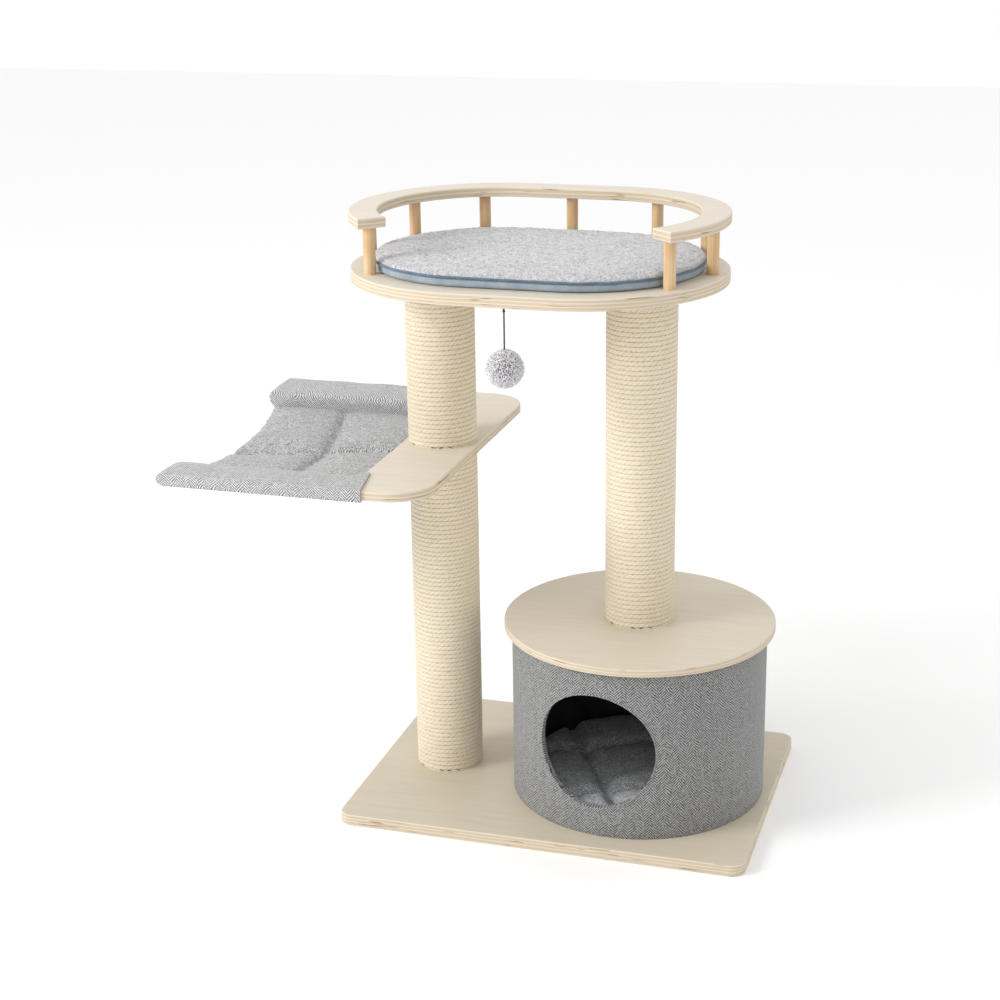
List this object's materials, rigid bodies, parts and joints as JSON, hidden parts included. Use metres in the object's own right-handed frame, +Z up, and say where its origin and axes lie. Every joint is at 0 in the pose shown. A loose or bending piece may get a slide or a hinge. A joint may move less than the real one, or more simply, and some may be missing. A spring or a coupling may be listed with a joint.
{
  "type": "cat tree",
  "caption": "Cat tree with rope-wound posts, a round fabric condo, a side hammock sling, a railed top perch with a cushion, and a hanging pom-pom.",
  "frame": {"origin": "middle of the base board's underside", "axes": "+X along the base towards the condo, -Y to the front where the condo's door and the perch's open side face, +Z up"},
  "size_m": [0.755, 0.466, 0.776],
  "materials": {
    "plywood": "satin clear-coated birch plywood",
    "plug_wood": "raw board",
    "peg_wood": "turned wood, satin",
    "sisal_rope": "coarse twisted rope",
    "cardboard_tube": "matte",
    "woven_fabric": "herringbone weave",
    "lining_fabric": "brushed",
    "cushion_fabric": "quilted soft cloth",
    "plush": "short plush pile",
    "piping": "smooth woven tape",
    "toy_cord": "braided elastic cord",
    "pompom_yarn": "fluffy yarn",
    "zinc_steel": "zinc plated"
  },
  "bodies": {
    "frame": {"base_board": "plywood", "condo_shell": "cardboard_tube", "condo_cover": "woven_fabric", "condo_lining": "lining_fabric", "condo_bottom_ring": "plywood", "condo_top_ring": "plywood", "condo_lid": "plywood", "condo_base_screws": "zinc_steel", "condo_lid_screws": "zinc_steel", "right_post_core": "cardboard_tube", "right_post_rope": "sisal_rope", "right_post_plugs": "plug_wood", "left_lower_post_core": "cardboard_tube", "left_lower_post_rope": "sisal_rope", "left_lower_post_plugs": "plug_wood", "left_upper_post_core": "cardboard_tube", "left_upper_post_rope": "sisal_rope", "left_upper_post_plugs": "plug_wood", "post_inserts": "zinc_steel", "base_bolt": "zinc_steel", "lid_bolt": "zinc_steel", "joining_stud": "zinc_steel", "platform_bolts": "zinc_steel", "washers": "zinc_steel", "hammock_board": "plywood", "top_platform": "plywood", "safety_rail": "plywood", "rail_peg_1": "peg_wood", "rail_peg_2": "peg_wood", "rail_peg_3": "peg_wood", "rail_peg_4": "peg_wood", "rail_peg_5": "peg_wood", "rail_peg_6": "peg_wood", "rail_peg_7": "peg_wood", "rail_peg_8": "peg_wood", "rail_peg_9": "peg_wood", "toy_eye": "zinc_steel"},
    "top_cushion_body": {"top_cushion": "plush", "top_cushion_piping": "piping"},
    "condo_cushion_body": {"condo_cushion": "cushion_fabric"},
    "sling_body": {"hammock_sling": "woven_fabric"},
    "toy_link": {"toy_loop": "toy_cord"},
    "toy": {"toy_cord": "toy_cord", "toy_pompom": "pompom_yarn"}
  },
  "joints": [
    {"name": "top_cushion_lift", "type": "slide", "parent": "frame", "child": "top_cushion_body", "axis": [0, 0, 1], "range_m": [0, 0.035]},
    {"name": "condo_cushion_lift", "type": "slide", "parent": "frame", "child": "condo_cushion_body", "axis": [0, 0, 1], "range_m": [0, 0.12]},
    {"name": "sling_pull_off", "type": "slide", "parent": "frame", "child": "sling_body", "axis": [-1, 0, 0], "range_m": [0, 0.3]},
    {"name": "toy_swing_sideways", "type": "hinge", "parent": "frame", "child": "toy_link", "pos_m": [-0.0435, -0.151, 0.6864], "axis": [0, 1, 0], "range_deg": [-50, 50]},
    {"name": "toy_swing_front_back", "type": "hinge", "parent": "toy_link", "child": "toy", "pos_m": [-0.0435, -0.151, 0.6804], "axis": [1, 0, 0], "range_deg": [-50, 50]}
  ]
}
